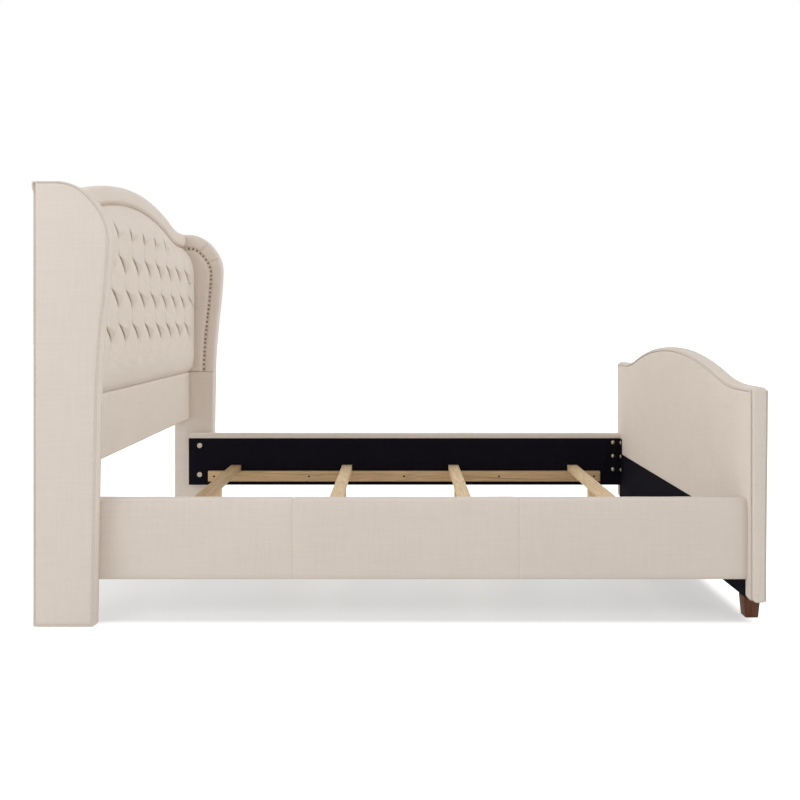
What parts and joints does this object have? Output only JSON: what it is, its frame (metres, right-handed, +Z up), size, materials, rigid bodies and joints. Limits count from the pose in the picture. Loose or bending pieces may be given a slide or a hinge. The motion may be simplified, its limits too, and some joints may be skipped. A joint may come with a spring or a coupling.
{
  "type": "panel bed",
  "caption": "Upholstered bed frame with a diamond tufted wing headboard, an arched footboard, padded side rails and pine slats on adjustable legs.",
  "frame": {"origin": "on the floor under the middle of the bed", "axes": "+X from the headboard to the footboard, +Y across the bed, +Z up"},
  "size_m": [2.211, 1.742, 1.4278],
  "materials": {
    "linen": "plain linen weave",
    "black_cloth": "thin non-woven lining",
    "pine": "planed, unfinished",
    "plywood": "raw",
    "hardwood": "raw",
    "walnut": "stained, satin",
    "antique_brass": "antiqued, satin",
    "bolt_brass": "plated, satin",
    "zinc_steel": "zinc plated",
    "black_steel": "black powder coat",
    "glide_plastic": "moulded"
  },
  "bodies": {
    "frame": {"corner_bolts": "bolt_brass", "corner_brackets": "black_steel", "foot_leg_bolts": "zinc_steel", "footboard_black_panel": "black_cloth", "footboard_boxing": "linen", "footboard_frame": "plywood", "footboard_inner_pad": "linen", "footboard_outer_pad": "linen", "footboard_welts": "linen", "head_bolts": "bolt_brass", "headboard_back_cover": "linen", "headboard_border": "linen", "headboard_cross_rails": "hardwood", "headboard_lower_pad": "linen", "headboard_panel": "plywood", "headboard_posts": "hardwood", "headboard_tufted_pad": "linen", "ledger_screws": "zinc_steel", "left_foot_leg": "walnut", "left_ledger": "pine", "left_rail_board": "hardwood", "left_rail_cover": "linen", "left_rail_lining": "black_cloth", "left_wing_boxing": "linen", "left_wing_frame": "plywood", "left_wing_inner_pad": "linen", "left_wing_lower_cover": "linen", "left_wing_outer_cover": "linen", "nailheads": "antique_brass", "right_foot_leg": "walnut", "right_ledger": "pine", "right_rail_board": "hardwood", "right_rail_cover": "linen", "right_rail_lining": "black_cloth", "right_wing_boxing": "linen", "right_wing_frame": "plywood", "right_wing_inner_pad": "linen", "right_wing_lower_cover": "linen", "right_wing_outer_cover": "linen", "slat_1": "pine", "slat_1_legs": "pine", "slat_2": "pine", "slat_2_legs": "pine", "slat_3": "pine", "slat_3_legs": "pine", "slat_4": "pine", "slat_4_legs": "pine", "slat_screws": "zinc_steel", "threaded_inserts": "zinc_steel", "wing_bolts": "zinc_steel", "wing_glides": "glide_plastic", "wing_welts": "linen"},
    "slat_1_left_foot": {"slat_1_left_foot": "glide_plastic"},
    "slat_1_right_foot": {"slat_1_right_foot": "glide_plastic"},
    "slat_2_left_foot": {"slat_2_left_foot": "glide_plastic"},
    "slat_2_right_foot": {"slat_2_right_foot": "glide_plastic"},
    "slat_3_left_foot": {"slat_3_left_foot": "glide_plastic"},
    "slat_3_right_foot": {"slat_3_right_foot": "glide_plastic"},
    "slat_4_left_foot": {"slat_4_left_foot": "glide_plastic"},
    "slat_4_right_foot": {"slat_4_right_foot": "glide_plastic"}
  },
  "joints": [
    {"name": "slat_1_left_foot_screw", "type": "slide", "parent": "frame", "child": "slat_1_left_foot", "axis": [0, 0, 1], "range_m": [-0.008, 0.01]},
    {"name": "slat_1_right_foot_screw", "type": "slide", "parent": "frame", "child": "slat_1_right_foot", "axis": [0, 0, 1], "range_m": [-0.008, 0.01]},
    {"name": "slat_2_left_foot_screw", "type": "slide", "parent": "frame", "child": "slat_2_left_foot", "axis": [0, 0, 1], "range_m": [-0.008, 0.01]},
    {"name": "slat_2_right_foot_screw", "type": "slide", "parent": "frame", "child": "slat_2_right_foot", "axis": [0, 0, 1], "range_m": [-0.008, 0.01]},
    {"name": "slat_3_left_foot_screw", "type": "slide", "parent": "frame", "child": "slat_3_left_foot", "axis": [0, 0, 1], "range_m": [-0.008, 0.01]},
    {"name": "slat_3_right_foot_screw", "type": "slide", "parent": "frame", "child": "slat_3_right_foot", "axis": [0, 0, 1], "range_m": [-0.008, 0.01]},
    {"name": "slat_4_left_foot_screw", "type": "slide", "parent": "frame", "child": "slat_4_left_foot", "axis": [0, 0, 1], "range_m": [-0.008, 0.01]},
    {"name": "slat_4_right_foot_screw", "type": "slide", "parent": "frame", "child": "slat_4_right_foot", "axis": [0, 0, 1], "range_m": [-0.008, 0.01]}
  ]
}
